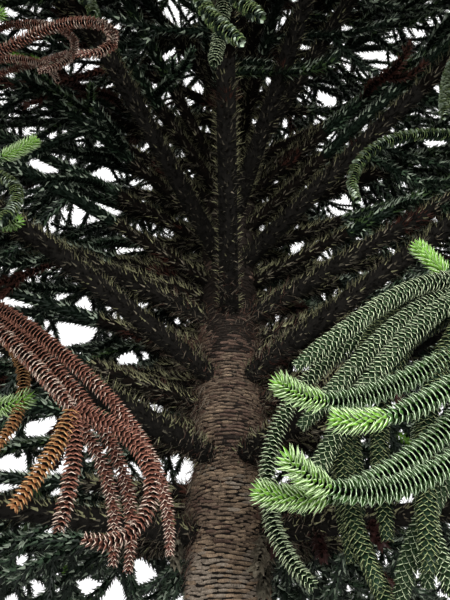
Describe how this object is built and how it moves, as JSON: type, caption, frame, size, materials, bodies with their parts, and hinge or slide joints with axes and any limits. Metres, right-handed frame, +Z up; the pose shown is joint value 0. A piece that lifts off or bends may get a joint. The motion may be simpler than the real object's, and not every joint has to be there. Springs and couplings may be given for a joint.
{
  "type": "monkey puzzle tree",
  "caption": "Whole evergreen tree with a straight scarred trunk, whorled boughs and hanging rope-like twigs clad in stiff leaves.",
  "frame": {"origin": "centre of the flat foot of the trunk, at ground level", "axes": "+Z up along the trunk; the open front of the low crown faces -Y"},
  "size_m": [6.1607, 6.0818, 10],
  "materials": {
    "bark": "rough, ringed with leaf scars",
    "dry_bough": "rough, clad in old dry leaves",
    "foliage": "stiff glossy leaves with pale edges"
  },
  "bodies": {
    "root": {"bough_1_1": "dry_bough", "bough_1_2": "dry_bough", "bough_2_1": "dry_bough", "bough_2_2": "dry_bough", "bough_3_1": "dry_bough", "bough_3_2": "dry_bough", "bough_4_1": "dry_bough", "bough_4_2": "dry_bough", "bough_4_3": "dry_bough", "bough_5_1": "dry_bough", "bough_5_2": "dry_bough", "bough_5_3": "dry_bough", "bough_5_4": "dry_bough", "bough_6_1": "dry_bough", "bough_7_1": "dry_bough", "bough_7_2": "dry_bough", "foliage_10_1": "foliage", "foliage_10_2": "foliage", "foliage_10_3": "foliage", "foliage_11_1": "foliage", "foliage_11_2": "foliage", "foliage_12_1": "foliage", "foliage_12_2": "foliage", "foliage_13_1": "foliage", "foliage_13_2": "foliage", "foliage_14_1": "foliage", "foliage_14_2": "foliage", "foliage_1_1": "foliage", "foliage_1_2": "foliage", "foliage_1_3": "foliage", "foliage_1_4": "foliage", "foliage_2_1": "foliage", "foliage_2_2": "foliage", "foliage_2_3": "foliage", "foliage_3_1": "foliage", "foliage_3_2": "foliage", "foliage_3_3": "foliage", "foliage_3_4": "foliage", "foliage_4_1": "foliage", "foliage_4_2": "foliage", "foliage_4_3": "foliage", "foliage_4_4": "foliage", "foliage_5_1": "foliage", "foliage_5_2": "foliage", "foliage_5_3": "foliage", "foliage_5_4": "foliage", "foliage_5_5": "foliage", "foliage_6_1": "foliage", "foliage_6_2": "foliage", "foliage_6_3": "foliage", "foliage_7_1": "foliage", "foliage_7_2": "foliage", "foliage_8_1": "foliage", "foliage_8_2": "foliage", "foliage_8_3": "foliage", "foliage_9_1": "foliage", "foliage_9_2": "foliage", "foliage_9_3": "foliage", "leader": "foliage", "trunk": "bark"}
  },
  "joints": []
}
